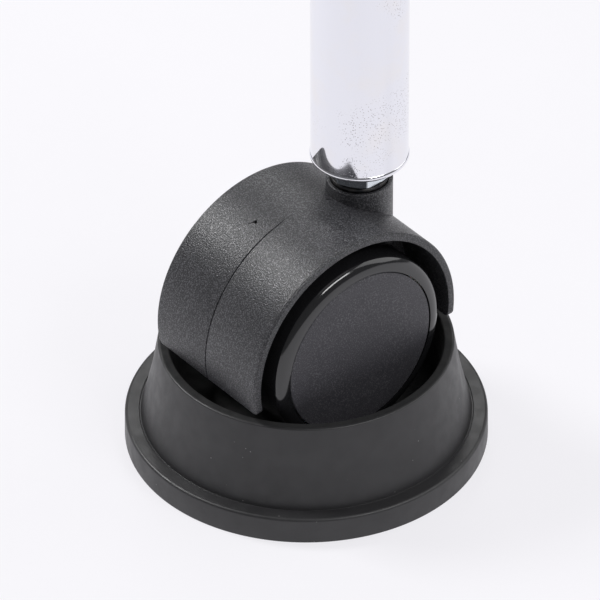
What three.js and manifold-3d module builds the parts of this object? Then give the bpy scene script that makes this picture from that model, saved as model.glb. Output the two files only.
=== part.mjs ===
// A hooded twin-wheel chair caster on the end of a chrome chair leg, standing in a rubber floor cup.
// Millimetres, +Z up. The origin is the middle of the cup's underside. The axle lies along Y, and the
// stem stands on the +X side of it, so +X is the caster's front and +Y its left.
import * as THREE from "three";
import { mergeVertices } from "three/addons/utils/BufferGeometryUtils.js";
import Module from "manifold-3d";

const wasm = await Module();
wasm.setup();

// ---------------------------------------------------------------- driving dimensions

const WHEEL_RADIUS = 25;
const WHEEL_INNER_Y = 7.6; // the wheel's face towards the middle of the caster
const WHEEL_FACE_Y = 20.9; // the rim of the wheel's outer face
const WHEEL_SHOULDER = 2; // radius of the tread's outer shoulder
const TREAD_INNER_ROUND = 1.2; // radius of its inner edge
const TREAD_BORE = 22.9;
const RIM_OUTER_RADIUS = 22.8; // the core's rim, inside the tread
const RIM_INNER_RADIUS = 21;
const COVER_RADIUS = 21.4;
const COVER_CROWN = 0.4;
const COVER_THICKNESS = 1.4;
const SKIRT_OUTER_RADIUS = 20.8; // the cover's skirt snaps inside the core's rim
const SKIRT_INNER_RADIUS = 19.6;
const SKIRT_HEIGHT = 2.6;

const CUP_BASE_RADIUS = 44.4;
const CUP_FLANGE_HEIGHT = 7;
const CUP_CREASE_RADIUS = 40.2;
const CUP_HEIGHT = 27.9;
const CUP_RIM_RADIUS = 35.9;
const CUP_MOUTH_RADIUS = 33.4;
const CUP_SEAT_RADIUS = 31.4;
const CUP_SEAT_HEIGHT = 11;

const AXLE_RADIUS = 3;
const HOOD_RADIUS = 30.9;
const HOOD_WALL = 2;
const HOOD_HALF_WIDTH = 19;
const BACK_DROP = 6.2; // how far the arch's back runs below the axle's level, to a level cut
const FRONT_DROP = 4.6; // and its front
const WEB_THICKNESS = 6;

const STEM_X = 16.5;
const STEM_RADIUS = 4; // an M8 thread
const THREAD_RADIUS = STEM_RADIUS - 0.1; // the thread's crests, inside the nut and the plug
const COLLAR_RADIUS = 8.1;
const COLLAR_TOP = 69.05;
const WASHER_DEPTH = 0.7; // how deep the thrust washer sits in the collar's mouth
const WASHER_HEIGHT = 1.7;
const NUT_ACROSS_FLATS = 13;
const NUT_HEIGHT = 5.2;
const NUT_TURN = 5; // degrees that its corners are turned from fore and aft

const LEG_RADIUS = 11.8;
const LEG_WALL = 1.5;
const LEG_TOP = 140;
const LEG_EDGE_RADIUS = 1.6;

const SEAT_GAP = 0.3; // between a wheel and the cup's seat
const RUNNING_GAP = 0.1; // between a turning piece and its neighbour
const FACE_GAP = 0.1; // between two stacked faces

const LARGE_ROUND = 48; // sides of a large round piece
const MEDIUM_ROUND = 36;
const SMALL_ROUND = 24;
const ARCH_STEPS = 30; // steps along the hood's arch
const CLIP_STEPS = 16; // steps round a clip

// ---------------------------------------------------------------- places that follow from them

const AXLE_Z = CUP_SEAT_HEIGHT + SEAT_GAP + WHEEL_RADIUS;
const BAY_RADIUS = HOOD_RADIUS - HOOD_WALL; // the hollow that a wheel turns in
const MIDDLE_HALF_WIDTH = WHEEL_INNER_Y - 0.8; // the hood's bosses, between the wheels

const WASHER_BOTTOM = COLLAR_TOP - WASHER_DEPTH;
const WASHER_TOP = WASHER_BOTTOM + WASHER_HEIGHT;
const NUT_BOTTOM = WASHER_TOP + FACE_GAP;
const LEG_BOTTOM = NUT_BOTTOM + NUT_HEIGHT + FACE_GAP;

const HUB_RADIUS = 7;
const BUSH_RADIUS = 4.5;
const HUB_OUTER_Y = 17.6;
const CLIP_Y = HUB_OUTER_Y + 0.2;
const CLIP_THICKNESS = 0.6;
const CLIP_RADIUS = 5.2;
const CLIP_GROOVE_DEPTH = 0.7;
const AXLE_END_Y = CLIP_Y + CLIP_THICKNESS + 0.5;

const STEM_BOTTOM = AXLE_Z + 8;
const SNAP_RING_Z = STEM_BOTTOM + 3.2;
const SNAP_RING_HEIGHT = 1;
const SNAP_GROOVE_DEPTH = 0.9;
const GROOVE_CLEARANCE = 0.15; // between a ring and the bottom of its groove
const SOCKET_RADIUS = 5.2;
const SOCKET_BOTTOM = STEM_BOTTOM - 0.8;
const WASHER_SEAT_RADIUS = COLLAR_RADIUS - 0.8;
const PLUG_HEIGHT = 12;

// ---------------------------------------------------------------- geometry helpers

/** The profile, a list of [radius, height] pairs, turned about Y, the axle's direction. */
function turnedAboutY(profile, sides) {
  return new THREE.LatheGeometry(profile.map(([r, y]) => new THREE.Vector2(r, y)), sides);
}

/** The same profile turned about Z. */
function turnedAboutZ(profile, sides) {
  return turnedAboutY(profile, sides).rotateX(Math.PI / 2);
}

/** A shape drawn in X and Z, given thickness from y = from to y = to. */
function slabAlongY(shape, from, to, curveSegments) {
  const depth = to - from;
  const slab = new THREE.ExtrudeGeometry(shape, { depth, bevelEnabled: false, curveSegments });
  return slab.rotateX(Math.PI / 2).translate(0, to, 0);
}

/** A round bar along Y. */
function barAlongY(radius, from, to, sides = SMALL_ROUND) {
  return new THREE.CylinderGeometry(radius, radius, to - from, sides).translate(0, (from + to) / 2, 0);
}

/** A round bar along Z at x. */
function barAlongZ(radius, x, from, to, sides = SMALL_ROUND) {
  const bar = new THREE.CylinderGeometry(radius, radius, to - from, sides).rotateX(Math.PI / 2);
  return bar.translate(x, 0, (from + to) / 2);
}

/** A ring whose flat faces are at y = from and y = to. */
function ringAlongY(inner, outer, from, to, sides = SMALL_ROUND) {
  return turnedAboutY([[inner, from], [outer, from], [outer, to], [inner, to], [inner, from]], sides);
}

/** A ring whose flat faces are at z = from and z = to. */
function ringAlongZ(inner, outer, from, to, sides = SMALL_ROUND) {
  return turnedAboutZ([[inner, from], [outer, from], [outer, to], [inner, to], [inner, from]], sides);
}

/** Points of an arc about (cx, cy) in a profile, angles in degrees. */
function arc(cx, cy, radius, from, to, steps) {
  return Array.from({ length: steps + 1 }, (_, i) => {
    const angle = THREE.MathUtils.degToRad(from + ((to - from) * i) / steps);
    return [cx + radius * Math.cos(angle), cy + radius * Math.sin(angle)];
  });
}

/** A geometry as a solid for joining and cutting. */
function solid(geometry) {
  const bare = geometry.index ? geometry.toNonIndexed() : geometry.clone();
  bare.deleteAttribute("normal");
  bare.deleteAttribute("uv");
  const merged = mergeVertices(bare, 1e-4);
  return new wasm.Manifold(
    new wasm.Mesh({
      numProp: 3,
      vertProperties: merged.attributes.position.array,
      triVerts: new Uint32Array(merged.index.array),
    }),
  );
}

/** A solid as a geometry. */
function geometryOf(made) {
  const mesh = made.getMesh();
  const geometry = new THREE.BufferGeometry();
  geometry.setAttribute("position", new THREE.BufferAttribute(mesh.vertProperties, 3));
  geometry.setIndex(new THREE.BufferAttribute(mesh.triVerts, 1));
  geometry.computeVertexNormals();
  return geometry;
}

// ---------------------------------------------------------------- materials

const finish = (color, roughness, metalness) =>
  new THREE.MeshStandardMaterial({ color, roughness, metalness });

const grainedPlastic = finish(0x3c3d3f, 0.6, 0);
const glossyTread = finish(0x17181a, 0.18, 0);
const coverPlastic = finish(0x38383b, 0.5, 0);
const naturalPlastic = finish(0xe7e3d6, 0.45, 0);
const rubber = finish(0x2c2c2e, 0.75, 0);
const chrome = finish(0xe6e8ec, 0.08, 1);
const steel = finish(0x9a9da1, 0.35, 1);
const springSteel = finish(0x55585c, 0.4, 1);

const caster = new THREE.Group();

function add(name, geometry, material, parent = caster) {
  const mesh = new THREE.Mesh(geometry, material);
  mesh.name = name;
  parent.add(mesh);
}

// ---------------------------------------------------------------- floor cup

function floorCup() {
  const edge = 0.8;
  const ring = 1.2; // the underside stands on its outer ring, and a shallow recess lies inside it
  return turnedAboutZ(
    [
      [0, ring],
      [CUP_SEAT_RADIUS - 4, ring],
      [CUP_SEAT_RADIUS - 3, 0],
      [CUP_BASE_RADIUS, 0],
      [CUP_BASE_RADIUS - 0.3, CUP_FLANGE_HEIGHT - edge],
      [CUP_BASE_RADIUS - 0.3 - edge, CUP_FLANGE_HEIGHT],
      [CUP_CREASE_RADIUS, CUP_FLANGE_HEIGHT],
      [(CUP_CREASE_RADIUS + CUP_RIM_RADIUS) / 2 - 0.3, (CUP_FLANGE_HEIGHT + CUP_HEIGHT) / 2],
      [CUP_RIM_RADIUS, CUP_HEIGHT - 0.4],
      [CUP_RIM_RADIUS - 0.4, CUP_HEIGHT],
      [CUP_MOUTH_RADIUS, CUP_HEIGHT],
      [CUP_SEAT_RADIUS, CUP_SEAT_HEIGHT],
      [0, CUP_SEAT_HEIGHT],
    ],
    LARGE_ROUND,
  );
}

add("floor_cup", floorCup(), rubber);

// ---------------------------------------------------------------- hood

/** The angles, from the front, at which an arc of this radius meets the front and the back cut. */
function archEnds(radius) {
  return [-Math.asin(FRONT_DROP / radius), Math.PI + Math.asin(BACK_DROP / radius)];
}

/** The arch over both wheels, drawn about the axle. */
function archShape() {
  const [outerFront, outerBack] = archEnds(HOOD_RADIUS);
  const [innerFront, innerBack] = archEnds(BAY_RADIUS);
  const shape = new THREE.Shape();
  shape.absarc(0, 0, HOOD_RADIUS, outerFront, outerBack, false);
  shape.absarc(0, 0, BAY_RADIUS, innerBack, innerFront, true);
  shape.closePath();
  return shape;
}

/** The web between the wheels, which joins the arch to the axle's boss. It narrows below the axle. */
function webShape() {
  const reach = BAY_RADIUS + HOOD_WALL / 2;
  const [front, back] = archEnds(reach);
  const foot = HUB_RADIUS + 2;
  const shape = new THREE.Shape();
  shape.absarc(0, 0, reach, front, back, false);
  shape.lineTo(-foot, -foot);
  shape.lineTo(foot, -foot);
  shape.closePath();
  return shape;
}

/** The round socket that the stem turns in. Its sides are cut flat where the wheels run past it. */
function stemSocket() {
  const bottom = SOCKET_BOTTOM - HOOD_WALL;
  const round = barAlongZ(COLLAR_RADIUS, STEM_X, bottom, COLLAR_TOP - 1, MEDIUM_ROUND);
  const flats = new THREE.BoxGeometry(2 * COLLAR_RADIUS, 2 * MIDDLE_HALF_WIDTH, COLLAR_TOP);
  return solid(round).intersect(solid(flats.translate(STEM_X, 0, AXLE_Z)));
}

function hoodBody() {
  const atAxle = [0, 0, AXLE_Z];
  const above = COLLAR_TOP + 1;
  const halfWeb = WEB_THICKNESS / 2;
  const y = HOOD_HALF_WIDTH;
  const arch = solid(slabAlongY(archShape(), -y, y, ARCH_STEPS)).translate(atAxle);
  const web = solid(slabAlongY(webShape(), -halfWeb, halfWeb, ARCH_STEPS)).translate(atAxle);
  const boss = solid(barAlongY(HUB_RADIUS, -MIDDLE_HALF_WIDTH, MIDDLE_HALF_WIDTH)).translate(atAxle);
  const bay = solid(barAlongY(BAY_RADIUS, -y, y, LARGE_ROUND)).translate(atAxle);
  const collar = solid(barAlongZ(COLLAR_RADIUS, STEM_X, AXLE_Z, COLLAR_TOP, MEDIUM_ROUND)).subtract(bay);
  const stemBore = solid(barAlongZ(SOCKET_RADIUS, STEM_X, SOCKET_BOTTOM, above));
  const washerSeat = solid(
    barAlongZ(WASHER_SEAT_RADIUS, STEM_X, WASHER_BOTTOM - FACE_GAP, above, MEDIUM_ROUND),
  );
  const axleBore = solid(barAlongY(AXLE_RADIUS + RUNNING_GAP, -y, y)).translate(atAxle);
  const joined = arch.add(web).add(boss).add(collar).add(stemSocket());
  return geometryOf(joined.subtract(stemBore).subtract(washerSeat).subtract(axleBore));
}

add("hood_body", hoodBody(), grainedPlastic);

// ---------------------------------------------------------------- axle

const axle = new THREE.Group();
axle.position.z = AXLE_Z;
caster.add(axle);

/** A pin with a groove near each end for its clip. */
function axlePin() {
  const groove = AXLE_RADIUS - CLIP_GROOVE_DEPTH;
  const chamfer = 0.5;
  const half = [
    [AXLE_RADIUS, CLIP_Y - FACE_GAP],
    [groove, CLIP_Y - FACE_GAP],
    [groove, CLIP_Y + CLIP_THICKNESS + FACE_GAP],
    [AXLE_RADIUS, CLIP_Y + CLIP_THICKNESS + FACE_GAP],
    [AXLE_RADIUS, AXLE_END_Y - chamfer],
    [AXLE_RADIUS - chamfer, AXLE_END_Y],
    [0, AXLE_END_Y],
  ];
  const other = half.map(([r, y]) => [r, -y]).reverse();
  return turnedAboutY([...other, ...half], SMALL_ROUND);
}

add("axle_pin", axlePin(), steel, axle);

// ---------------------------------------------------------------- wheels

/** Hub, inner web, rim and ribs of one wheel, drawn for the +Y side. */
function wheelCore() {
  const ribThickness = 1.4;
  const rimTop = WHEEL_FACE_Y - 1.6;
  const webTop = WHEEL_INNER_Y + 2;
  const ribTop = HUB_OUTER_Y - 1.5;
  const ribs = 6;
  const turned = turnedAboutY(
    [
      [BUSH_RADIUS + RUNNING_GAP, WHEEL_INNER_Y],
      [RIM_OUTER_RADIUS, WHEEL_INNER_Y],
      [RIM_OUTER_RADIUS, rimTop],
      [RIM_INNER_RADIUS, rimTop],
      [RIM_INNER_RADIUS, webTop],
      [HUB_RADIUS, webTop],
      [HUB_RADIUS, HUB_OUTER_Y],
      [BUSH_RADIUS + RUNNING_GAP, HUB_OUTER_Y],
      [BUSH_RADIUS + RUNNING_GAP, WHEEL_INNER_Y],
    ],
    LARGE_ROUND,
  );
  const sink = 0.5; // how far a rib runs into the hub, the rim and the web
  const length = RIM_INNER_RADIUS - HUB_RADIUS + 2 * sink;
  const ribBox = new THREE.BoxGeometry(length, ribTop - webTop + sink, ribThickness);
  ribBox.translate((RIM_INNER_RADIUS + HUB_RADIUS) / 2, (webTop - sink + ribTop) / 2, 0);
  let core = solid(turned);
  for (let i = 0; i < ribs; i++) {
    core = core.add(solid(ribBox.clone().rotateY((i * 2 * Math.PI) / ribs)));
  }
  return geometryOf(core);
}

/** The tread: a band round the core, with a round shoulder that ends at the cover. */
function wheelTread() {
  const faceInner = COVER_RADIUS + 0.3;
  const faceBack = WHEEL_FACE_Y - COVER_THICKNESS;
  const inner = TREAD_INNER_ROUND;
  const outer = WHEEL_SHOULDER;
  return turnedAboutY(
    [
      [TREAD_BORE, WHEEL_INNER_Y],
      ...arc(WHEEL_RADIUS - inner, WHEEL_INNER_Y + inner, inner, -90, 0, 2),
      ...arc(WHEEL_RADIUS - outer, WHEEL_FACE_Y - outer, outer, 0, 90, 5),
      [faceInner, WHEEL_FACE_Y],
      [faceInner, faceBack],
      [TREAD_BORE, faceBack],
      [TREAD_BORE, WHEEL_INNER_Y],
    ],
    LARGE_ROUND,
  );
}

/** A shallow crowned disc with a skirt that snaps inside the core's rim. */
function wheelCover() {
  const back = WHEEL_FACE_Y - COVER_THICKNESS;
  const skirtBottom = back - SKIRT_HEIGHT;
  const edge = 0.3;
  return turnedAboutY(
    [
      [0, back],
      [SKIRT_INNER_RADIUS, back],
      [SKIRT_INNER_RADIUS, skirtBottom],
      [SKIRT_OUTER_RADIUS, skirtBottom],
      [SKIRT_OUTER_RADIUS, back],
      [COVER_RADIUS, back],
      [COVER_RADIUS, WHEEL_FACE_Y - edge],
      [COVER_RADIUS - edge, WHEEL_FACE_Y],
      [COVER_RADIUS * 0.6, WHEEL_FACE_Y + COVER_CROWN * 0.7],
      [0, WHEEL_FACE_Y + COVER_CROWN],
    ],
    LARGE_ROUND,
  );
}

function axleWasher() {
  const from = MIDDLE_HALF_WIDTH + FACE_GAP;
  return ringAlongY(AXLE_RADIUS + RUNNING_GAP, HUB_RADIUS - 0.6, from, WHEEL_INNER_Y - FACE_GAP);
}

function wheelBush() {
  return ringAlongY(AXLE_RADIUS + RUNNING_GAP, BUSH_RADIUS, WHEEL_INNER_Y, HUB_OUTER_Y);
}

/** A spring clip: a ring with a mouth, which snaps into the axle's groove from the side. */
function axleClip() {
  const mouth = THREE.MathUtils.degToRad(35);
  const shape = new THREE.Shape();
  const inner = AXLE_RADIUS - CLIP_GROOVE_DEPTH + GROOVE_CLEARANCE;
  shape.absarc(0, 0, CLIP_RADIUS, mouth, 2 * Math.PI - mouth, false);
  shape.absarc(0, 0, inner, 2 * Math.PI - mouth, mouth, true);
  shape.closePath();
  return slabAlongY(shape, CLIP_Y, CLIP_Y + CLIP_THICKNESS, CLIP_STEPS);
}

const wheelPieces = [
  ["wheel_core", wheelCore, naturalPlastic],
  ["wheel_tread", wheelTread, glossyTread],
  ["wheel_cover", wheelCover, coverPlastic],
  ["wheel_bush", wheelBush, naturalPlastic],
  ["axle_washer", axleWasher, steel],
  ["axle_clip", axleClip, springSteel],
];

for (const side of ["left", "right"]) {
  const wheel = new THREE.Group();
  wheel.rotation.z = side === "right" ? Math.PI : 0;
  axle.add(wheel);
  for (const [name, make, material] of wheelPieces) {
    add(`${side}_${name}`, make(), material, wheel);
  }
}

// ---------------------------------------------------------------- swivel stem

const stemLine = new THREE.Group();
stemLine.position.x = STEM_X;
caster.add(stemLine);

/** A plain swivel pin below the nut and a threaded end above it. */
function stem() {
  const groove = STEM_RADIUS - SNAP_GROOVE_DEPTH;
  const top = LEG_BOTTOM + PLUG_HEIGHT + 1.5;
  const chamfer = 0.7;
  return turnedAboutZ(
    [
      [0, STEM_BOTTOM],
      [STEM_RADIUS - chamfer, STEM_BOTTOM],
      [STEM_RADIUS, STEM_BOTTOM + chamfer],
      [STEM_RADIUS, SNAP_RING_Z - FACE_GAP],
      [groove, SNAP_RING_Z - FACE_GAP],
      [groove, SNAP_RING_Z + SNAP_RING_HEIGHT + FACE_GAP],
      [STEM_RADIUS, SNAP_RING_Z + SNAP_RING_HEIGHT + FACE_GAP],
      [STEM_RADIUS, WASHER_TOP],
      [THREAD_RADIUS, WASHER_TOP],
      [THREAD_RADIUS, top - chamfer],
      [THREAD_RADIUS - chamfer, top],
      [0, top],
    ],
    SMALL_ROUND,
  );
}

/** The liner that the stem turns in. The snap ring under it keeps the stem from lifting out. */
function swivelBush() {
  const bottom = SNAP_RING_Z + SNAP_RING_HEIGHT + 2 * FACE_GAP;
  const top = WASHER_BOTTOM - FACE_GAP;
  return ringAlongZ(STEM_RADIUS + RUNNING_GAP, SOCKET_RADIUS - RUNNING_GAP, bottom, top);
}

/** A split ring in the stem's groove. */
function snapRing() {
  const mouth = THREE.MathUtils.degToRad(15);
  const shape = new THREE.Shape();
  const inner = STEM_RADIUS - SNAP_GROOVE_DEPTH + GROOVE_CLEARANCE;
  shape.absarc(0, 0, SOCKET_RADIUS - 2 * RUNNING_GAP, mouth, 2 * Math.PI - mouth, false);
  shape.absarc(0, 0, inner, 2 * Math.PI - mouth, mouth, true);
  shape.closePath();
  const size = { depth: SNAP_RING_HEIGHT, bevelEnabled: false, curveSegments: CLIP_STEPS };
  return new THREE.ExtrudeGeometry(shape, size).translate(0, 0, SNAP_RING_Z);
}

function thrustWasher() {
  const outer = WASHER_SEAT_RADIUS - 2 * RUNNING_GAP;
  return ringAlongZ(STEM_RADIUS + RUNNING_GAP, outer, WASHER_BOTTOM, WASHER_TOP, MEDIUM_ROUND);
}

/** A thin hexagon nut that locks the stem to the leg. */
function lockNut() {
  const corner = NUT_ACROSS_FLATS / Math.sqrt(3);
  const hexagon = new THREE.CylinderGeometry(corner, corner, NUT_HEIGHT, 6).rotateX(Math.PI / 2);
  hexagon.rotateZ(Math.PI / 2 + THREE.MathUtils.degToRad(NUT_TURN));
  hexagon.translate(0, 0, NUT_BOTTOM + NUT_HEIGHT / 2);
  const bore = barAlongZ(STEM_RADIUS, 0, NUT_BOTTOM - 1, NUT_BOTTOM + NUT_HEIGHT + 1);
  return geometryOf(solid(hexagon).subtract(solid(bore)));
}

add("stem", stem(), steel, stemLine);
add("stem_swivel_bush", swivelBush(), naturalPlastic, stemLine);
add("stem_snap_ring", snapRing(), springSteel, stemLine);
add("stem_thrust_washer", thrustWasher(), springSteel, stemLine);
add("stem_lock_nut", lockNut(), chrome, stemLine);

// ---------------------------------------------------------------- chair leg

/** The end of a round chair leg, its lower edge rolled in and its top open. */
function legTube() {
  const inner = LEG_RADIUS - LEG_WALL;
  return turnedAboutZ(
    [
      [inner, LEG_BOTTOM],
      ...arc(LEG_RADIUS - LEG_EDGE_RADIUS, LEG_BOTTOM + LEG_EDGE_RADIUS, LEG_EDGE_RADIUS, -80, 0, 3),
      [LEG_RADIUS, LEG_TOP],
      [inner, LEG_TOP],
      [inner, LEG_BOTTOM],
    ],
    LARGE_ROUND,
  );
}

/** The tapped plug in the leg's end that the stem screws into. */
function legEndPlug() {
  const radius = LEG_RADIUS - LEG_WALL - RUNNING_GAP;
  return ringAlongZ(STEM_RADIUS, radius, LEG_BOTTOM, LEG_BOTTOM + PLUG_HEIGHT, MEDIUM_ROUND);
}

add("leg_tube", legTube(), chrome, stemLine);
add("leg_end_plug", legEndPlug(), steel, stemLine);

export default caster;
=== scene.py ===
import math
import random

import bmesh
import bpy
from mathutils import Matrix, Vector


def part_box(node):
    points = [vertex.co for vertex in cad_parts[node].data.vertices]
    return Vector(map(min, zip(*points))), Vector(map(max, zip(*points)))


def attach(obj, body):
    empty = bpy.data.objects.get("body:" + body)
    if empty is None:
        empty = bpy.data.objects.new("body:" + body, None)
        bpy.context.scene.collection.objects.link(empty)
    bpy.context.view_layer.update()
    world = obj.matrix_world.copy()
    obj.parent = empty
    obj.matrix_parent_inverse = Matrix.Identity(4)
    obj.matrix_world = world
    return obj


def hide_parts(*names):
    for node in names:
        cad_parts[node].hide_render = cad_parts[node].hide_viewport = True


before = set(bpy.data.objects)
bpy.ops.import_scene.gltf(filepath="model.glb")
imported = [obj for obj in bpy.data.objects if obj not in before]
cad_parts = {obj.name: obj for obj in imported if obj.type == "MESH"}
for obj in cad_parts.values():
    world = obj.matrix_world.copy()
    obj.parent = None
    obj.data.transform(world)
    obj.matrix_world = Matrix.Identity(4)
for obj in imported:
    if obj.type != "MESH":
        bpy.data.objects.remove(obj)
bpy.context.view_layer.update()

# A hooded twin-wheel chair caster under a chrome chair leg, standing in a rubber floor cup.
# Metres. +Z is up, the axle lies along Y, and the stem stands on the +X side of the axle.

MM = 0.001

# ---------------------------------------------------------------- sizes read from the frame


def extent(node):
    """Lowest corner, highest corner and middle of a CAD node."""
    low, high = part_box(node)
    return low, high, (low + high) / 2


_, cup_high, _ = extent("floor_cup")
_, hood_high, _ = extent("hood_body")
tread_low, tread_high, tread_middle = extent("left_wheel_tread")
cover_low, cover_high, _ = extent("left_wheel_cover")
core_low, core_high, _ = extent("left_wheel_core")
stem_low, stem_high, stem_middle = extent("stem")
nut_low, nut_high, _ = extent("stem_lock_nut")
washer_low, washer_high, _ = extent("stem_thrust_washer")
leg_low, leg_high, _ = extent("leg_tube")
plug_low, plug_high, _ = extent("leg_end_plug")
ring_low, ring_high, _ = extent("stem_snap_ring")

AXLE = Vector((0, 0, tread_middle.z))
STEM = Vector((stem_middle.x, 0, 0))
WHEEL_RADIUS = (tread_high.z - tread_low.z) / 2
HOOD_RADIUS = hood_high.x
BACK_DROP = 6.2 * MM  # the arch's back and front run this far below the axle's level
FRONT_DROP = 4.6 * MM
HOOD_WALL = 2 * MM
BAY_RADIUS = HOOD_RADIUS - HOOD_WALL
COLLAR_RADIUS = 8.1 * MM
LEG_RADIUS = (leg_high.x - leg_low.x) / 2
PLUG_RADIUS = (plug_high.x - plug_low.x) / 2
STEM_RADIUS = (stem_high.x - stem_low.x) / 2
WASHER_RADIUS = (washer_high.x - washer_low.x) / 2

FINE = 192  # steps round a large turned piece
MEDIUM = 96
SMALL = 48
FILLET_STEP = 11  # degrees between the points of a rounded corner
SHARP_ANGLE = 28  # degrees past which an edge is kept sharp
ON_AXIS = 0.0001 * MM  # a point nearer to the axis than this lies on it
WELD_GAP = 0.003 * MM

# ---------------------------------------------------------------- mesh building


def object_from(name, bm, angle=SHARP_ANGLE):
    """A smooth-shaded object from a bmesh, with edges sharper than angle kept sharp."""
    bmesh.ops.recalc_face_normals(bm, faces=bm.faces)
    mesh = bpy.data.meshes.new(name)
    bm.to_mesh(mesh)
    bm.free()
    made = bpy.data.objects.new(name, mesh)
    bpy.context.scene.collection.objects.link(made)
    smooth(made, angle)
    return made


def smooth(made, angle=SHARP_ANGLE):
    """Shades a mesh smoothly, apart from edges sharper than angle, in degrees."""
    made.data.polygons.foreach_set("use_smooth", [True] * len(made.data.polygons))
    made.data.set_sharp_from_angle(angle=math.radians(angle))


def fillet(before, corner, after, radius):
    """Points of an arc of this radius that rounds a corner, in two dimensions."""
    u = (Vector(before) - Vector(corner)).normalized()
    v = (Vector(after) - Vector(corner)).normalized()
    half = u.angle(v) / 2
    reach = radius / math.tan(half)
    centre = Vector(corner) + (u + v).normalized() * radius / math.sin(half)
    first = Vector(corner) + u * reach - centre
    last = Vector(corner) + v * reach - centre
    turn = math.pi - 2 * half
    count = max(2, math.ceil(math.degrees(turn) / FILLET_STEP))
    points = []
    for i in range(count + 1):
        t = i / count
        mixed = (first * math.sin((1 - t) * turn) + last * math.sin(t * turn)) / math.sin(turn)
        points.append(tuple(centre + mixed))
    return points


def rounded(corners, closed=False):
    """An outline through corners (a, b, fillet radius), in millimetres, given back in metres."""
    points = []
    count = len(corners)
    for i, (a, b, radius) in enumerate(corners):
        inside = closed or 0 < i < count - 1
        if radius and inside:
            before = corners[i - 1][:2]
            after = corners[(i + 1) % count][:2]
            points += fillet(before, (a, b), after, radius)
        else:
            points.append((a, b))
    return [(a * MM, b * MM) for a, b in points]


def wrap(bm, rings, closed=False):
    """Faces from each ring of points to the next, and from the last to the first if closed."""
    pairs = list(zip(rings, rings[1:]))
    if closed:
        pairs.append((rings[-1], rings[0]))
    for lower, upper in pairs:
        for i, first in enumerate(lower):
            j = (i + 1) % len(lower)
            bm.faces.new(dict.fromkeys([first, lower[j], upper[j], upper[i]]))


def turned(name, outline, centre, up=(0, 0, 1), steps=FINE, closed=False):
    """A body of revolution. The outline's points are (radius, height along up)."""
    bm = bmesh.new()
    angles = [2 * math.pi * i / steps for i in range(steps)]
    rings = []
    for radius, height in outline:
        if radius < ON_AXIS:
            rings.append([bm.verts.new((0, 0, height))] * steps)
        else:
            ring = [(radius * math.cos(a), radius * math.sin(a), height) for a in angles]
            rings.append([bm.verts.new(p) for p in ring])
    wrap(bm, rings, closed)
    turn = Vector(up).to_track_quat("Z", "Y").to_matrix().to_4x4()
    bm.transform(Matrix.Translation(centre) @ turn)
    return object_from(name, bm)


def prism(name, outline, y_from, y_to, centre):
    """An outline in X and Z, given thickness along Y."""
    bm = bmesh.new()
    near = [bm.verts.new((x, y_from, z)) for x, z in outline]
    far = [bm.verts.new((x, y_to, z)) for x, z in outline]
    bm.faces.new(near)
    bm.faces.new(reversed(far))
    wrap(bm, [near, far])
    bm.transform(Matrix.Translation(centre))
    return object_from(name, bm)


def combined(base, *steps):
    """base joined with, cut by or cut down to other bodies, which are used up."""
    for operation, other in steps:
        modifier = base.modifiers.new(operation, "BOOLEAN")
        modifier.operation = operation
        modifier.solver = "EXACT"
        modifier.object = other
    graph = bpy.context.evaluated_depsgraph_get()
    mesh = bpy.data.meshes.new_from_object(base.evaluated_get(graph))
    base.modifiers.clear()
    weld(mesh)
    base.data = mesh
    for _, other in steps:
        bpy.data.objects.remove(other)
    smooth(base)
    return base


def weld(mesh):
    """Joins points closer than WELD_GAP, takes out the slivers between them and fills any hole."""
    bm = bmesh.new()
    bm.from_mesh(mesh)
    bmesh.ops.remove_doubles(bm, verts=bm.verts, dist=WELD_GAP)
    bmesh.ops.dissolve_degenerate(bm, edges=bm.edges, dist=WELD_GAP)
    bmesh.ops.holes_fill(bm, edges=[e for e in bm.edges if e.is_boundary])
    bmesh.ops.delete(bm, geom=[e for e in bm.edges if e.is_wire], context="EDGES")
    bm.to_mesh(mesh)
    bm.free()


def place(piece, body, slot, material, *nodes):
    """Gives a finished piece its material and its body, and hides the CAD nodes that it stands for.
    """
    piece.data.materials.clear()
    piece.data.materials.append(material)
    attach(piece, body)
    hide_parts(*nodes)


# ---------------------------------------------------------------- materials


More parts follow.
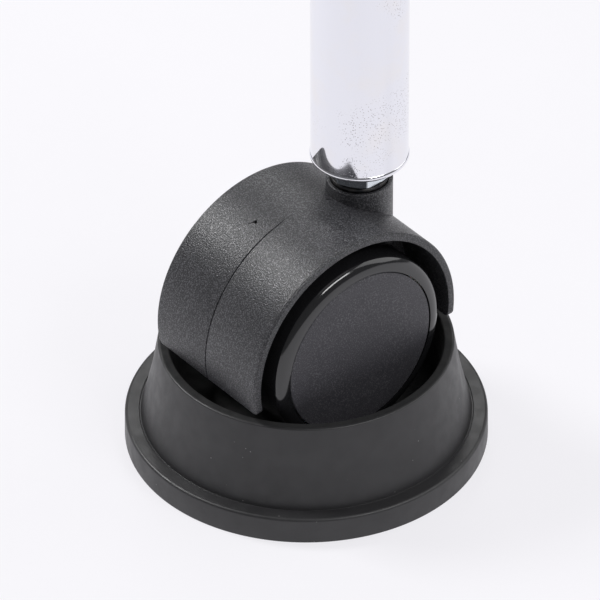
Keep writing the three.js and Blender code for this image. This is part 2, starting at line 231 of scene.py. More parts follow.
class Surface:
    """A Principled material whose colour, roughness and bump are built up by small node steps."""

    def __init__(self, name, roughness, metallic=0.0, **constants):
        self.material = bpy.data.materials.new(name)
        self.material.use_nodes = True
        self.tree = self.material.node_tree
        self.shader = self.tree.nodes["Principled BSDF"]
        self.shader.inputs["Roughness"].default_value = roughness
        self.shader.inputs["Metallic"].default_value = metallic
        for socket, value in constants.items():
            self.shader.inputs[socket.replace("_", " ")].default_value = value
        self.position = self.node("ShaderNodeTexCoord").outputs["Object"]
        self.last_bump = None

    def node(self, kind, **settings):
        made = self.tree.nodes.new(kind)
        for key, value in settings.items():
            setattr(made, key, value)
        return made

    def link(self, start, end):
        self.tree.links.new(start, end)

    def noise(self, size, detail=3.0, rough=0.55, stretch=(1, 1, 1)):
        """Soft noise whose lumps are about size metres wide, from 0 to 1."""
        mapping = self.node("ShaderNodeMapping")
        mapping.inputs["Scale"].default_value = stretch
        self.link(self.position, mapping.inputs["Vector"])
        made = self.node("ShaderNodeTexNoise")
        made.inputs["Scale"].default_value = 1 / size
        made.inputs["Detail"].default_value = detail
        made.inputs["Roughness"].default_value = rough
        self.link(mapping.outputs["Vector"], made.inputs["Vector"])
        return made.outputs["Fac"]

    def cells(self, size):
        """Distance from the middle of scattered cells about size metres wide."""
        made = self.node("ShaderNodeTexVoronoi", feature="F1")
        made.inputs["Scale"].default_value = 1 / size
        self.link(self.position, made.inputs["Vector"])
        return made.outputs["Distance"]

    def from_axis(self):
        """Distance from the Z axis."""
        flat = self.node("ShaderNodeVectorMath", operation="MULTIPLY")
        flat.inputs[1].default_value = (1, 1, 0)
        self.link(self.position, flat.inputs[0])
        made = self.node("ShaderNodeVectorMath", operation="LENGTH")
        self.link(flat.outputs["Vector"], made.inputs[0])
        return made.outputs["Value"]

    def spread(self, value, low, high, out_low=0.0, out_high=1.0):
        """value's stretch from low to high, mapped smoothly to out_low to out_high."""
        made = self.node("ShaderNodeMapRange", interpolation_type="SMOOTHSTEP")
        made.inputs["From Min"].default_value = low
        made.inputs["From Max"].default_value = high
        made.inputs["To Min"].default_value = out_low
        made.inputs["To Max"].default_value = out_high
        self.link(value, made.inputs["Value"])
        return made.outputs["Result"]

    def times(self, first, second):
        made = self.node("ShaderNodeMath", operation="MULTIPLY")
        self.link(first, made.inputs[0])
        self.link(second, made.inputs[1])
        return made.outputs[0]

    def mix(self, share, first, second):
        """Colours first to second by share. Each is a colour or another node's output."""
        made = self.node("ShaderNodeMix", data_type="RGBA")
        self.link(share, made.inputs["Factor"])
        for socket, colour in (("A", first), ("B", second)):
            target = next(i for i in made.inputs if i.name == socket and i.type == "RGBA")
            if isinstance(colour, tuple):
                target.default_value = (*colour, 1)
            else:
                self.link(colour, target)
        return next(o for o in made.outputs if o.type == "RGBA")

    def colour(self, output):
        self.link(output, self.shader.inputs["Base Color"])

    def roughness(self, output):
        self.link(output, self.shader.inputs["Roughness"])

    def bump(self, height, depth, strength=1.0):
        """height from 0 to 1 raised by depth metres. Several calls add up."""
        made = self.node("ShaderNodeBump")
        made.inputs["Strength"].default_value = strength
        made.inputs["Distance"].default_value = depth
        self.link(height, made.inputs["Height"])
        if self.last_bump:
            self.link(self.last_bump, made.inputs["Normal"])
        self.last_bump = made.outputs["Normal"]
        self.link(self.last_bump, self.shader.inputs["Normal"])


def hood_plastic():
    """Charcoal nylon with a spark-eroded grain that glints, over a faintly uneven tone. The grain's
    peaks are painted paler, partly as texture and partly as painted glints.
    """
    s = Surface("hood_plastic", 0.45)
    grain = s.noise(0.34 * MM, detail=1.5, rough=0.5)
    peaks = s.spread(grain, 0.45, 0.66)
    tone = s.mix(s.noise(11 * MM, detail=2), (0.0175, 0.0175, 0.0205), (0.0225, 0.0225, 0.0255))
    # Paler peaks: partly the grain's own texture, partly painted glints of light off the grain.
    s.colour(s.mix(peaks, tone, (0.095, 0.095, 0.103)))
    s.roughness(s.spread(peaks, 0.0, 1.0, 0.42, 0.3))
    s.bump(grain, 0.12 * MM)
    return s.material


def cover_plastic():
    """Black disc with a finer, flatter grain than the hood's, and an uneven gloss."""
    s = Surface("cover_plastic", 0.5, Specular_IOR_Level=0.38)
    grain = s.noise(0.3 * MM, detail=1.5, rough=0.5)
    peaks = s.spread(grain, 0.5, 0.68)
    tone = s.mix(s.noise(9 * MM, detail=2), (0.04, 0.039, 0.046), (0.046, 0.045, 0.052))
    s.colour(s.mix(peaks, tone, (0.101, 0.099, 0.108)))
    s.roughness(s.spread(s.noise(6 * MM), 0.3, 0.7, 0.46, 0.52))
    s.bump(grain, 0.06 * MM)
    return s.material


def tread_plastic():
    """Polished black, with faint ripples and rubbed patches that dull it."""
    s = Surface("tread_plastic", 0.1, Specular_IOR_Level=0.75)
    blotch = s.noise(5 * MM, detail=2)
    s.colour(s.mix(blotch, (0.008, 0.008, 0.009), (0.013, 0.013, 0.014)))
    s.roughness(s.spread(s.noise(1.8 * MM, detail=4), 0.35, 0.75, 0.08, 0.15))
    s.bump(s.noise(3.5 * MM, detail=1), 0.01 * MM)
    return s.material


SKIN_START = 35 * MM  # within this distance from the cup's axis its rubber is rougher, and painted darker as shade
SKIN_END = 35.7 * MM  # past this one it has its skin, and no painted shade


def cup_rubber():
    """Moulded rubber: a faint bloom, fine grain, pale specks of dust, and within the rim a rougher
    surface with painted shade darkening it.
    """
    s = Surface("cup_rubber", 0.45, Specular_IOR_Level=0.62)
    skin_outside_painted_shade = s.spread(s.from_axis(), SKIN_START, SKIN_END)
    bloom = s.spread(s.noise(14 * MM), 0.3, 0.7)
    tone = s.mix(bloom, (0.016, 0.0156, 0.0172), (0.02, 0.0195, 0.0212))
    dust_size = s.spread(s.cells(2.2 * MM), 0.03, 0.09, 1.0, 0.0)
    dust = s.times(dust_size, s.spread(s.noise(4 * MM, detail=1), 0.56, 0.62))
    # Painted shade: within the rim the rubber's colour is darker, for the shade in the cup's hollow.
    painted_shade_tone = s.mix(bloom, (0.009, 0.009, 0.0095), (0.013, 0.013, 0.0135))
    s.colour(s.mix(skin_outside_painted_shade, painted_shade_tone, s.mix(dust, tone, (0.2, 0.2, 0.2))))
    wear = s.spread(s.noise(4 * MM, detail=4), 0.3, 0.7, 0.4, 0.5)
    s.roughness(s.times(wear, s.spread(skin_outside_painted_shade, 0.0, 1.0, 2.0, 1.0)))
    s.bump(s.noise(0.35 * MM), 0.012 * MM)
    s.bump(s.noise(6 * MM, detail=1), 0.04 * MM)
    return s.material


def leg_chrome():
    """Bright plating, with pitting gathered in patches and a faint warm haze."""
    s = Surface("leg_chrome", 0.06, 1.0)
    patch = s.spread(s.noise(16 * MM, detail=2), 0.47, 0.62)
    pits = s.times(s.spread(s.cells(0.55 * MM), 0.12, 0.3, 1.0, 0.0), patch)
    haze = s.spread(s.noise(9 * MM), 0.45, 0.75)
    bright = s.mix(haze, (0.83, 0.835, 0.885), (0.84, 0.83, 0.85))
    s.colour(s.mix(pits, bright, (0.42, 0.4, 0.4)))
    s.roughness(s.spread(patch, 0.0, 1.0, 0.045, 0.12))
    s.bump(pits, -0.03 * MM, 0.6)
    s.bump(s.noise(7 * MM, detail=1), 0.03 * MM)
    return s.material


def nut_chrome():
    """Plated nut, with fine wrench rubs."""
    s = Surface("nut_chrome", 0.14, 1.0)
    rubs = s.noise(0.5 * MM, rough=0.6, stretch=(0.3, 0.3, 3))
    s.colour(s.mix(s.spread(rubs, 0.4, 0.8), (0.72, 0.76, 0.8), (0.5, 0.54, 0.58)))
    s.roughness(s.spread(rubs, 0.3, 0.8, 0.1, 0.26))
    s.bump(rubs, 0.01 * MM)
    return s.material


def bright_steel():
    """Zinc-plated steel, with turning marks and a faint yellow passivation."""
    s = Surface("bright_steel", 0.3, 1.0)
    marks = s.noise(0.4 * MM, rough=0.6, stretch=(0.4, 0.4, 4))
    s.colour(s.mix(s.noise(3 * MM), (0.5, 0.5, 0.5), (0.6, 0.58, 0.52)))
    s.roughness(s.spread(marks, 0.3, 0.7, 0.22, 0.4))
    s.bump(marks, 0.012 * MM)
    return s.material


def spring_steel():
    """Dark oiled spring steel."""
    s = Surface("spring_steel", 0.4, 1.0)
    film = s.noise(1.5 * MM, detail=4)
    s.colour(s.mix(s.spread(film, 0.3, 0.7), (0.035, 0.037, 0.042), (0.075, 0.072, 0.07)))
    s.roughness(s.spread(film, 0.3, 0.7, 0.28, 0.5))
    s.bump(s.noise(0.3 * MM), 0.01 * MM)
    return s.material


def natural_plastic():
    """Unpigmented nylon, faintly cloudy under its skin."""
    s = Surface("natural_plastic", 0.4, Subsurface_Weight=0.15, Subsurface_Scale=0.002)
    cloud = s.noise(4 * MM)
    s.colour(s.mix(s.spread(cloud, 0.3, 0.7), (0.66, 0.62, 0.52), (0.78, 0.75, 0.66)))
    s.roughness(s.spread(cloud, 0.3, 0.7, 0.32, 0.46))
    s.bump(s.noise(0.4 * MM), 0.01 * MM)
    return s.material


def floor_paint():
    """A pale, faintly mottled table with a light of its own, which keeps shadows faint."""
    s = Surface("floor_paint", 0.7, Specular_IOR_Level=0.1, Emission_Strength=0.75)
    s.shader.inputs["Emission Color"].default_value = (0.972, 0.962, 1.0, 1)
    s.colour(s.mix(s.noise(60 * MM), (0.195, 0.193, 0.199), (0.205, 0.203, 0.209)))
    s.roughness(s.spread(s.noise(10 * MM), 0.3, 0.7, 0.65, 0.75))
    return s.material


HOOD = hood_plastic()
COVER = cover_plastic()
TREAD = tread_plastic()
RUBBER = cup_rubber()
CHROME = leg_chrome()
NUT = nut_chrome()
STEEL = bright_steel()
SPRING = spring_steel()
NATURAL = natural_plastic()

# ---------------------------------------------------------------- floor cup

RECESS_HEIGHT = 1.2  # the hollow underneath, in millimetres, as are the sizes below
RECESS_RADIUS = 27.4
FOOT_RADIUS = 28.4
FLANGE_TOP = 6.9
FLANGE_TAPER = 0.1
CREASE_OUTER = 40.75  # a fine groove where the wall meets the flange
CREASE_INNER = 40.15
CREASE_SLOPE = 0.15
CREASE_DEPTH = 0.2
CREASE_RISE = 0.25  # how much higher its inner edge is than the flange
WAIST_RADIUS = 37.7  # the wall's slope changes here, in a long sweep
WAIST_HEIGHT = 17.2
WAIST_SWEEP = 30
RIM_OUTER = 35.9
RIM_INNER = 33.4
SEAT_RADIUS = 31.4
SEAT_HEIGHT = 11


def floor_cup():
    """The rubber cup, from the middle of its underside round to the middle of its seat."""
    base = cup_high.x / MM
    top = cup_high.z / MM
    foot = [(0, RECESS_HEIGHT, 0), (RECESS_RADIUS, RECESS_HEIGHT, 0.3), (FOOT_RADIUS, 0, 0.4)]
    flange = [(base - FLANGE_TAPER, 0, 0.3), (base - 2 * FLANGE_TAPER, FLANGE_TOP, 0.8)]
    crease = [
        (CREASE_OUTER, FLANGE_TOP, 0.12),
        (CREASE_OUTER - CREASE_SLOPE, FLANGE_TOP - CREASE_DEPTH, 0.08),
        (CREASE_INNER + CREASE_SLOPE, FLANGE_TOP - CREASE_DEPTH, 0.08),
        (CREASE_INNER, FLANGE_TOP + CREASE_RISE, 0.25),
    ]
    wall = [(WAIST_RADIUS, WAIST_HEIGHT, WAIST_SWEEP), (RIM_OUTER, top, 0.45), (RIM_INNER, top, 0.5)]
    seat = [(SEAT_RADIUS, SEAT_HEIGHT, 1.6), (0, SEAT_HEIGHT, 0)]
    return turned("rubber_cup", rounded(foot + flange + crease + wall + seat), (0, 0, 0))


place(floor_cup(), "cup", "cup_rubber", RUBBER, "floor_cup")

# ---------------------------------------------------------------- hood

LIP_RECESS = 0.16  # each mouth's edge lies this far under the grained skin, in millimetres
LIP_WIDTH = 0.45
LIP_SLOPE = 0.12
GROOVE_DEPTH = 0.5 * MM
GROOVE_START = math.radians(58)  # above this angle from the back the parting line fades
GROOVE_END = math.radians(87)
# The parting line across: (y in millimetres, share of its depth).
GROOVE_SHAPE = [(-0.3, 0), (-0.17, 0.06), (-0.1, 0.85), (0, 1), (0.1, 0.85), (0.17, 0.06), (0.3, 0)]
CORNER_ROUND = 1.5 * MM
BACK_ROUNDS = (0.35 * MM, 1.2 * MM)  # how round the cut's outer and inner edges are
FRONT_ROUNDS = (1.2 * MM, 0.5 * MM)
ARCH_STEPS = 180
CORNER_STEPS = 6


def hood_section():
    """The arch's section as (y, radius), from the left mouth to the right one by the inside."""
    half = hood_high.y / MM
    outer = HOOD_RADIUS / MM
    inner = BAY_RADIUS / MM
    edge = outer - LIP_RECESS
    left = [
        (half - LIP_WIDTH - LIP_SLOPE, outer, 0.05),
        (half - LIP_WIDTH, edge, 0.04),
        (half, edge, 0.3),
        (half, inner, 0.22),
    ]
    right = [(-y, r, fillet_radius) for y, r, fillet_radius in left]
    return rounded(left + right[::-1], closed=True)


def smoothstep(t):
    """0 up to t = 0 and 1 from t = 1 on, with a smooth rise between them."""
    t = min(1.0, max(0.0, t))
    return t * t * (3 - 2 * t)


def rounding(radius, height):
    """How far a quarter round of this radius has drawn back at this height over its tangent."""
    rest = max(0.0, radius - height)
    return radius - math.sqrt(radius**2 - rest**2)


def groove_points(angle):
    """The parting line's points across the arch's top, from right to left, at this angle."""
    rise = min(angle, math.pi - angle)
    depth = GROOVE_DEPTH * (1 - smoothstep((rise - GROOVE_START) / (GROOVE_END - GROOVE_START)))
    return [(y * MM, HOOD_RADIUS - share * depth) for y, share in GROOVE_SHAPE]


def arch_rows():
    """Rows along the arch as (height over the cut, share of the way round)."""
    turns = [math.pi / 2 * i / CORNER_STEPS for i in range(CORNER_STEPS + 1)]
    heights = sorted({r * (1 - math.cos(a)) for r in (CORNER_ROUND, BACK_ROUNDS[0]) for a in turns})
    back = [(height, 0.0) for height in heights]
    middle = [(CORNER_ROUND, i / ARCH_STEPS) for i in range(1, ARCH_STEPS)]
    return back + middle + [(height, 1.0) for height, _ in reversed(back)]


def arch_angle(radius, height, share):
    """The angle from the back at this share of the way from the back cut to the front one."""
    start = -math.asin((BACK_DROP - height) / radius)
    end = math.pi + math.asin((FRONT_DROP - height) / radius)
    return start + share * (end - start)


def arch_row(bm, section, height, share):
    """One row of points. Near a cut the section narrows, which rounds the cut's edges and corners."""
    outer_round, inner_round = BACK_ROUNDS if share < 0.5 else FRONT_ROUNDS
    outer_inset = rounding(outer_round, height)
    inner_inset = rounding(inner_round, height)
    narrowing = 1 - rounding(CORNER_ROUND, height) / hood_high.y
    row = []
    for y, r in groove_points(arch_angle(HOOD_RADIUS, height, share)) + section:
        through = (r - BAY_RADIUS) / HOOD_WALL
        radius = BAY_RADIUS + inner_inset + through * (HOOD_WALL - inner_inset - outer_inset)
        angle = arch_angle(radius, height, share)
        point = (-radius * math.cos(angle), y * narrowing, AXLE.z + radius * math.sin(angle))
        row.append(bm.verts.new(point))
    return row


def arch_body():
    """The arch, cut level at each end, with its parting line."""
    section = hood_section()
    bm = bmesh.new()
    rows = [arch_row(bm, section, height, share) for height, share in arch_rows()]
    wrap(bm, rows)
    bm.faces.new(rows[0])
    bm.faces.new(reversed(rows[-1]))
    return object_from("hood", bm)


WEB_HALF = 3 * MM
WEB_FOOT = [(12, -8), (9, -9), (-9, -9), (-12, -8)]  # its lower edge under the axle, in millimetres
SIDE_GAP = 0.8 * MM  # between the middle of the hood and each wheel
BOSS_RADIUS = 7  # in millimetres, as are the sizes below
AXLE_BORE_RADIUS = 3.1
BUSH_SEAT_RADIUS = 5.2
SOCKET_FLOOR = 2.8  # how far the socket goes on under the stem
SOCKET_SINK = 5  # how far its top lies under the collar's
STEM_END_GAP = 0.8
WASHER_GAP = 0.1  # under the thrust washer, and twice this round it
BEYOND = 40  # how far a cutting body runs past what it cuts


def web_body():
    """The plate between the wheels."""
    reach = BAY_RADIUS + HOOD_WALL / 2
    angles = [arch_angle(reach, 0, i / ARCH_STEPS) for i in range(ARCH_STEPS + 1)]
    outline = [(-reach * math.cos(a), reach * math.sin(a)) for a in angles]
    outline += [(x * MM, z * MM) for x, z in WEB_FOOT]
    return prism("web", outline, -WEB_HALF, WEB_HALF, AXLE)


def axle_boss():
    """The barrel that the axle goes through."""
    reach = (core_low.y - SIDE_GAP) / MM
    corners = [(0, -reach, 0), (BOSS_RADIUS, -reach, 0.3), (BOSS_RADIUS, reach, 0.3), (0, reach, 0)]
    return turned("boss", rounded(corners), AXLE, (0, 1, 0), MEDIUM)


def bar(name, radius, low, high, centre, up=(0, 0, 1), steps=MEDIUM):
    """A plain bar, all in millimetres, which joins or cuts another body."""
    outline = [(0, low), (radius, low), (radius, high), (0, high)]
    return turned(name, [(a * MM, b * MM) for a, b in outline], centre, up, steps)


def collar_body():
    """The collar on the roof, down to the bay's wall."""
    top = hood_high.z / MM
    low = AXLE.z / MM
    radius = COLLAR_RADIUS / MM
    outline = rounded([(0, low, 0), (radius, low, 0), (radius, top, 0.35), (0, top, 0)])
    collar = turned("collar", outline, STEM, steps=MEDIUM)
    bay = bar("bay", BAY_RADIUS / MM, -BEYOND, BEYOND, AXLE, (0, 1, 0), FINE)
    return combined(collar, ("DIFFERENCE", bay))


def socket_body():
    """The stem's socket between the wheels, flat-sided."""
    radius = COLLAR_RADIUS / MM
    bottom = stem_low.z / MM - SOCKET_FLOOR
    top = hood_high.z / MM - SOCKET_SINK
    outline = rounded([(0, bottom, 0), (radius, bottom, 0.8), (radius, top, 0), (0, top, 0)])
    socket = turned("socket", outline, STEM, steps=MEDIUM)
    half = core_low.y - SIDE_GAP
    reach = 1.5 * COLLAR_RADIUS
    box = [(-reach, 0), (reach, 0), (reach, hood_high.z), (-reach, hood_high.z)]
    return combined(socket, ("INTERSECT", prism("flats", box, -half, half, STEM)))


def stem_bores():
    """The rooms for the stem's bush and, above it, the thrust washer."""
    seat = washer_low.z / MM - WASHER_GAP
    bottom = stem_low.z / MM - STEM_END_GAP
    wide = WASHER_RADIUS / MM + 2 * WASHER_GAP
    overlap = 0.5
    bush_bore = bar("bush_bore", BUSH_SEAT_RADIUS, bottom, seat + overlap, STEM)
    return bush_bore, bar("washer_bore", wide, seat, seat + BEYOND, STEM)


# Scars where the moulding was broken from its runner, a pit and its tail: (angle from the back,
# y, half length, half width, depth, turn about the skin's normal), in degrees and millimetres.
SCARS = [(68.8, 5.3, 0.5, 0.6, 0.8, 0), (67.3, 5.9, 0.95, 0.14, 0.25, -36)]
SCAR_OUTLINE = [(0, -1), (0.6, -0.8), (1, 0), (0.6, 0.8), (0, 1)]
SCAR_STEPS = 14
SCAR_RAGGEDNESS = 0.18
SCAR_SEED = 3


def scar(angle, y, length, width, depth, twist):
    """A small ragged spindle, which leaves a hollow when it is cut out of the arch."""
    draw = random.Random(SCAR_SEED)
    made = turned("scar", [(a * MM, b * MM) for a, b in SCAR_OUTLINE], (0, 0, 0), steps=SCAR_STEPS)
    for v in made.data.vertices:
        v.co *= 1 + draw.uniform(-SCAR_RAGGEDNESS, SCAR_RAGGEDNESS)
    a = math.radians(angle)
    outward = Vector((-math.cos(a), 0, math.sin(a)))
    centre = AXLE + outward * HOOD_RADIUS + Vector((0, y * MM, 0))
    along = Vector((math.sin(a), 0, math.cos(a)))
    frame_of_skin = Matrix((along, Vector((0, 1, 0)), outward)).transposed().to_4x4()
    turn = frame_of_skin @ Matrix.Rotation(math.radians(twist), 4, "Z")
    size = Matrix.Diagonal((length, width, depth, 1))
    made.data.transform(Matrix.Translation(centre) @ turn @ size)
    return made


def hood():
    """The whole moulding, with its bores and scars."""
    bush_bore, washer_bore = stem_bores()
    axle_bore = bar("axle_bore", AXLE_BORE_RADIUS, -BEYOND, BEYOND, AXLE, (0, 1, 0), SMALL)
    return combined(
        arch_body(),
        ("UNION", web_body()),
        ("UNION", axle_boss()),
        ("UNION", collar_body()),
        ("UNION", socket_body()),
        ("DIFFERENCE", bush_bore),
        ("DIFFERENCE", washer_bore),
        ("DIFFERENCE", axle_bore),
        *[("DIFFERENCE", scar(*values)) for values in SCARS],
    )


place(hood(), "caster", "hood_plastic", HOOD, "hood_body")

# ---------------------------------------------------------------- wheels

SHOULDER_STEPS = 24
SHOULDER_DEPTH = 2.05  # along the axle, in millimetres, as are the other lengths below
SHOULDER_PROUD = 0.05  # how far it stands out past the CAD tread's face
TREAD_MOUTH = 21.68
TREAD_MOUTH_DEPTH = 1.4
TREAD_BORE = 22.9
COVER_PLATE = 2.4  # from the clip's end to the plate
CLIP_INNER = 19.6
CLIP_OUTER = 20.8
CROWN_REACH = 0.6  # this share of the cover's radius has this share of its crown
CROWN_SHARE = 0.75
CROWN_SWEEP = 20
HUB_BORE = 4.6
HUB_RADIUS = 7.2
HUB_FACE_STEP = 0.9  # the web lies this far inside the hub's and the rim's faces
WEB_OUTER = 18.6
WEB_THICKNESS = 1.1
RIM_FOOT = 19.2
CORE_RADIUS = 22.8
CORE_WALL = 1.8
CORE_FACE = 19.3


def wheel_tread(name, outward):
    """The running band, with a broad oval shoulder that ends at the cover."""
    inner = tread_low.y / MM
    face = tread_high.y / MM
    radius = WHEEL_RADIUS / MM
    start = face + SHOULDER_PROUD - SHOULDER_DEPTH
    shoulder = []
    for i in range(SHOULDER_STEPS + 1):
        a = math.pi / 2 * i / SHOULDER_STEPS
        across = TREAD_MOUTH + (radius - TREAD_MOUTH) * math.cos(a)
        shoulder.append((across, start + SHOULDER_DEPTH * math.sin(a), 0))
    bottom = face - TREAD_MOUTH_DEPTH
    mouth = [(TREAD_MOUTH, bottom, 0), (TREAD_BORE, bottom, 0)]
    outline = [(TREAD_BORE, inner, 0.2), (radius, inner, 1.2), *shoulder, *mouth]
    return turned(name, rounded(outline, closed=True), AXLE, outward, closed=True)


def wheel_cover(name, outward):
    """The snap-in disc: slightly crowned, with a small round at its rim."""
    low = cover_low.y / MM
    rim = tread_high.y / MM
    crown = cover_high.y / MM
    radius = (cover_high.x - cover_low.x) / 2 / MM
    plate = low + COVER_PLATE
    crowned = (radius * CROWN_REACH, rim + (crown - rim) * CROWN_SHARE, CROWN_SWEEP)
    clip = [(CLIP_INNER, plate, 0.3), (CLIP_INNER, low, 0.2), (CLIP_OUTER, low, 0.3)]
    edge = [(CLIP_OUTER, plate, 0.1), (radius, plate, 0.1), (radius, rim, 0.35)]
    outline = [(0, plate, 0), *clip, *edge, crowned, (0, crown, 0)]
    return turned(name, rounded(outline), AXLE, outward)


def wheel_core(name, outward):
    """Hub, web and rim. Its inner face shows between the wheels."""
    inner = core_low.y / MM
    hub = core_high.y / MM
    web_inside = inner + HUB_FACE_STEP
    web_outside = web_inside + WEB_THICKNESS
    bay = CORE_RADIUS - CORE_WALL
    inner_face = [
        (HUB_BORE, inner, 0.2),
        (HUB_RADIUS, inner, 0.3),
        (HUB_RADIUS + 0.4, web_inside, 0.3),
        (WEB_OUTER, web_inside, 0.5),
        (RIM_FOOT, inner, 0.3),
    ]
    rim = [(CORE_RADIUS, inner, 0.2), (CORE_RADIUS, CORE_FACE, 0.2), (bay, CORE_FACE, 0.2)]
    web = [(bay, web_outside, 0.8), (HUB_RADIUS - 0.2, web_outside, 0.8)]
    outline = inner_face + rim + web + [(HUB_RADIUS - 0.2, hub, 0.3), (HUB_BORE, hub, 0.2)]
    return turned(name, rounded(outline, closed=True), AXLE, outward, MEDIUM, closed=True)


for side, outward in (("left", (0, 1, 0)), ("right", (0, -1, 0))):
    body = f"{side}_wheel"
    tread = wheel_tread(f"{side}_tyre_band", outward)
    place(tread, body, "tread_plastic", TREAD, f"{side}_wheel_tread")
    cover = wheel_cover(f"{side}_hub_disc", outward)
    place(cover, body, "cover_plastic", COVER, f"{side}_wheel_cover")
    core = wheel_core(f"{side}_wheel_body", outward)
    place(core, body, "natural_plastic", NATURAL, f"{side}_wheel_core")

# ---------------------------------------------------------------- leg and stem

LEG_WALL = 1.5  # in millimetres, as are the sizes below that have no unit
PLUG_BORE = 4
WASHER_BORE = 4.1
BEAD_RADIUS = 0.85
BEAD_STEP = 0.25  # how far the bead stands out of the tube
BEAD_STEPS = 20
NUT_ACROSS_FLATS = 13 * MM
NUT_TURN = math.radians(5)
NUT_CHAMFER_WIDTH = 0.95
NUT_CHAMFER_HEIGHT = 0.5
NUT_EDGE_ROUND = 0.12 * MM


def leg_tube():
    """A tube whose lower edge is rolled into a bead."""
    low = leg_low.z / MM
    top = leg_high.z / MM
    radius = LEG_RADIUS / MM
    inner = radius - LEG_WALL
    middle = radius + BEAD_STEP - BEAD_RADIUS
    last = math.degrees(math.acos((radius - middle) / BEAD_RADIUS))
    turns = [math.radians(-90 + (90 + last) * i / BEAD_STEPS) for i in range(BEAD_STEPS + 1)]
    bead = []
    for a in turns:
        bead.append((middle + BEAD_RADIUS * math.cos(a), low + BEAD_RADIUS * (1 + math.sin(a)), 0))
    outline = [(inner, low, 0.2), *bead, (radius, top, 0.3), (inner, top, 0.3)]
    return turned("chrome_leg", rounded(outline, closed=True), STEM, closed=True)


def leg_plug():
    """The tapped plug in the leg's end."""
    low = plug_low.z / MM
    top = plug_high.z / MM
    radius = PLUG_RADIUS / MM
    outside = [(radius, low, 0.4), (radius, top, 0.6)]
    outline = rounded([(PLUG_BORE, low, 0.4), *outside, (PLUG_BORE, top, 0.5)], closed=True)
    return turned("tapped_plug", outline, STEM, steps=MEDIUM, closed=True)


def lock_nut():
    """A hexagon with its corners chamfered top and bottom."""
    corner = NUT_ACROSS_FLATS / 2 / math.cos(math.pi / 6)
    bm = bmesh.new()
    rings = []
    for z in (nut_low.z, nut_high.z):
        turns = [NUT_TURN + math.pi / 3 * i for i in range(6)]
        rings.append([bm.verts.new((corner * math.cos(a), corner * math.sin(a), z)) for a in turns])
    wrap(bm, rings)
    bm.faces.new(rings[0])
    bm.faces.new(rings[1])
    upright = [e for e in bm.edges if abs(e.verts[0].co.z - e.verts[1].co.z) > MM]
    bmesh.ops.bevel(bm, geom=upright, offset=NUT_EDGE_ROUND, segments=3, affect="EDGES")
    bm.transform(Matrix.Translation(STEM))
    hexagon = object_from("lock_nut", bm)
    wide = corner / MM
    face = wide - NUT_CHAMFER_WIDTH
    low = nut_low.z / MM
    top = nut_high.z / MM
    shoulders = [(wide, low + NUT_CHAMFER_HEIGHT, 0.1), (wide, top - NUT_CHAMFER_HEIGHT, 0.1)]
    cone = rounded([(0, low, 0), (face, low, 0.1), *shoulders, (face, top, 0.1), (0, top, 0)])
    return combined(
        hexagon,
        ("INTERSECT", turned("nut_round", cone, STEM, steps=MEDIUM)),
        ("DIFFERENCE", bar("nut_bore", STEM_RADIUS / MM, low - 1, top + 1, STEM, steps=SMALL)),
    )


THREAD_PITCH = 1.25 * MM
THREAD_DEPTH = 0.55 * MM
THREAD_GAP = 0.1 * MM  # its crests lie this far inside the plain pin's radius
THREAD_STEPS = 10  # rows to a turn
THREAD_SHARP_ANGLE = 40
RUN_OUT = 0.6  # how many turns it fades over at the stem's end
TAPER_LENGTH = 0.8 * MM
TAPER_DEPTH = 0.6 * MM
PIN_CHAMFER = 0.7 * MM
RING_GROOVE_DEPTH = 0.9 * MM
RING_GAP = 0.1 * MM


def pin_rows():
    """The plain swivel pin with its snap-ring groove, as (height, radius, depth of thread)."""
    groove = STEM_RADIUS - RING_GROOVE_DEPTH
    groove_low = ring_low.z - RING_GAP
    groove_high = ring_high.z + RING_GAP
    return [
        (stem_low.z, STEM_RADIUS - PIN_CHAMFER, 0),
        (stem_low.z + PIN_CHAMFER, STEM_RADIUS, 0),
        (groove_low, STEM_RADIUS, 0),
        (groove_low, groove, 0),
        (groove_high, groove, 0),
        (groove_high, STEM_RADIUS, 0),
        (washer_high.z, STEM_RADIUS, 0),
    ]


def thread_rows():
    """The end above the thrust washer, whose thread fades in and out, in the same form."""
    start = washer_high.z
    top = stem_high.z
    crest = STEM_RADIUS - THREAD_GAP
    count = int((top - start) / THREAD_PITCH * THREAD_STEPS)
    rows = []
    for i in range(count + 1):
        z = start + (top - start) * i / count
        fade = min(1.0, (z - start) / THREAD_PITCH, (top - z) / (RUN_OUT * THREAD_PITCH))
        taper = max(0.0, 1 - (top - z) / TAPER_LENGTH) * TAPER_DEPTH
        rows.append((z, crest - taper, THREAD_DEPTH * max(0.0, fade)))
    return rows


def stem_rod():
    """A plain swivel pin, and a helical thread above it."""
    bm = bmesh.new()
    rings = []
    for z, radius, depth in pin_rows() + thread_rows():
        ring = []
        for k in range(SMALL):
            turn = k / SMALL
            phase = (z / THREAD_PITCH - turn) % 1.0
            reach = radius - depth * abs(2 * phase - 1)
            a = 2 * math.pi * turn
            ring.append(bm.verts.new((reach * math.cos(a), reach * math.sin(a), z)))
        rings.append(ring)
    wrap(bm, rings)
    bm.faces.new(rings[0])
    bm.faces.new(rings[-1])
    bm.transform(Matrix.Translation(STEM))
    return object_from("threaded_stem", bm, THREAD_SHARP_ANGLE)


def thrust_washer():
    """The washer between the collar and the nut."""
    low = washer_low.z / MM
    top = washer_high.z / MM
    radius = WASHER_RADIUS / MM
    outside = [(radius, low, 0.4), (radius, top, 0.5)]
    outline = rounded([(WASHER_BORE, low, 0.2), *outside, (WASHER_BORE, top, 0.2)], closed=True)
    return turned("swivel_washer", outline, STEM, steps=MEDIUM, closed=True)


place(leg_tube(), "leg", "leg_chrome", CHROME, "leg_tube")
place(leg_plug(), "leg", "bright_steel", STEEL, "leg_end_plug")
place(lock_nut(), "leg", "leg_chrome", NUT, "stem_lock_nut")
place(stem_rod(), "leg", "bright_steel", STEEL, "stem")
place(thrust_washer(), "leg", "spring_steel", SPRING, "stem_thrust_washer")

# ---------------------------------------------------------------- CAD nodes that stay

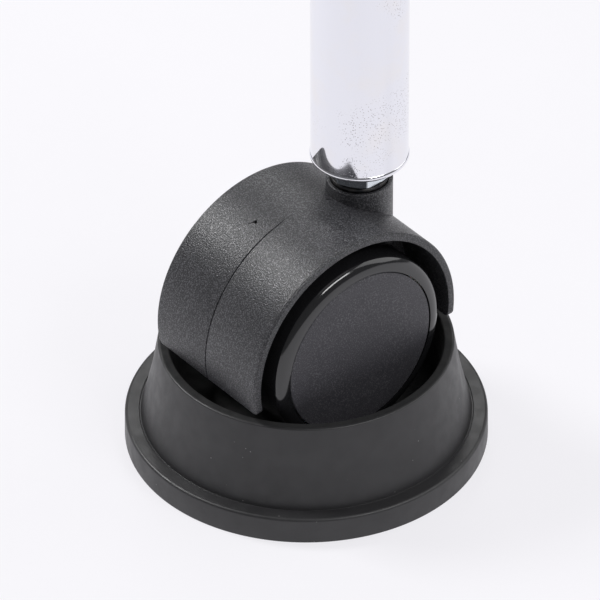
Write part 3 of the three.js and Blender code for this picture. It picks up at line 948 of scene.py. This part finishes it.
CARRIED = {"axle_pin": STEEL, "stem_snap_ring": SPRING, "stem_swivel_bush": NATURAL}
for side in ("left", "right"):
    CARRIED[f"{side}_axle_washer"] = STEEL
    CARRIED[f"{side}_axle_clip"] = SPRING
    CARRIED[f"{side}_wheel_bush"] = NATURAL

for node, material in CARRIED.items():
    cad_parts[node].data.materials.clear()
    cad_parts[node].data.materials.append(material)

# ---------------------------------------------------------------- floor, light and camera

CAMERA_AZIMUTH = -38.6
CAMERA_ELEVATION = 37.09
CAMERA_ROLL = -0.19
CAMERA_DISTANCE = 1.942
CAMERA_AIM = Vector((4.33, 7.76, 32.9)) * MM
CAMERA_LENS = 480.7
CAMERA_SENSOR = 36
CAMERA_CLIP_END = 20
FLOOR_SIZE = 4
WORLD_COLOUR = (0.975, 0.975, 1.0, 1)
WORLD_STRENGTH = 0.17
LIGHT_DISTANCE = 1.0

# Soft boxes round the axle: (name, azimuth, elevation, (width, height) in metres, watts).
SOFT_BOXES = [
    ("key", -152, 46, (0.26, 0.26), 6.2),
    ("front", 8, 46, (0.5, 0.22), 3.2),
    ("right", 70, 33, (0.8, 0.8), 2.8),
    ("back", 142, 36, (0.4, 0.4), 1.6),
    ("above", 0, 88, (0.7, 0.7), 0.5),
]


def direction(azimuth, elevation):
    """The unit vector towards something seen at this azimuth and elevation, in degrees."""
    a = math.radians(azimuth)
    e = math.radians(elevation)
    return Vector((math.sin(a) * math.cos(e), -math.cos(a) * math.cos(e), math.sin(e)))


def add_floor():
    """The table's top, in the plane of the cup's foot."""
    bm = bmesh.new()
    bmesh.ops.create_grid(bm, x_segments=8, y_segments=8, size=FLOOR_SIZE)
    floor = object_from("floor", bm)
    floor.data.materials.append(floor_paint())


def add_light(name, azimuth, elevation, size, power):
    """A soft box that faces the caster."""
    data = bpy.data.lights.new(name, "AREA")
    data.shape = "RECTANGLE"
    data.size, data.size_y = size
    data.energy = power
    light = bpy.data.objects.new(name, data)
    bpy.context.scene.collection.objects.link(light)
    towards = direction(azimuth, elevation)
    turn = towards.to_track_quat("Z", "Y").to_matrix().to_4x4()
    light.matrix_world = Matrix.Translation(AXLE + towards * LIGHT_DISTANCE) @ turn


def add_world():
    """A dim, even light from all round."""
    world = bpy.data.worlds.new("studio")
    world.use_nodes = True
    background = world.node_tree.nodes["Background"]
    background.inputs["Color"].default_value = WORLD_COLOUR
    background.inputs["Strength"].default_value = WORLD_STRENGTH
    bpy.context.scene.world = world


def add_camera():
    """A long lens that looks down from the back right."""
    data = bpy.data.cameras.new("camera")
    data.sensor_width = CAMERA_SENSOR
    data.lens = CAMERA_LENS
    data.clip_end = CAMERA_CLIP_END
    camera = bpy.data.objects.new("camera", data)
    bpy.context.scene.collection.objects.link(camera)
    back = direction(CAMERA_AZIMUTH, CAMERA_ELEVATION)
    turn = back.to_track_quat("Z", "Y").to_matrix().to_4x4()
    roll = Matrix.Rotation(math.radians(CAMERA_ROLL), 4, "Z")
    camera.matrix_world = Matrix.Translation(CAMERA_AIM + back * CAMERA_DISTANCE) @ turn @ roll
    bpy.context.scene.camera = camera


add_floor()
add_world()
for soft_box in SOFT_BOXES:
    add_light(*soft_box)
add_camera()
bpy.context.scene.view_settings.view_transform = "Standard"
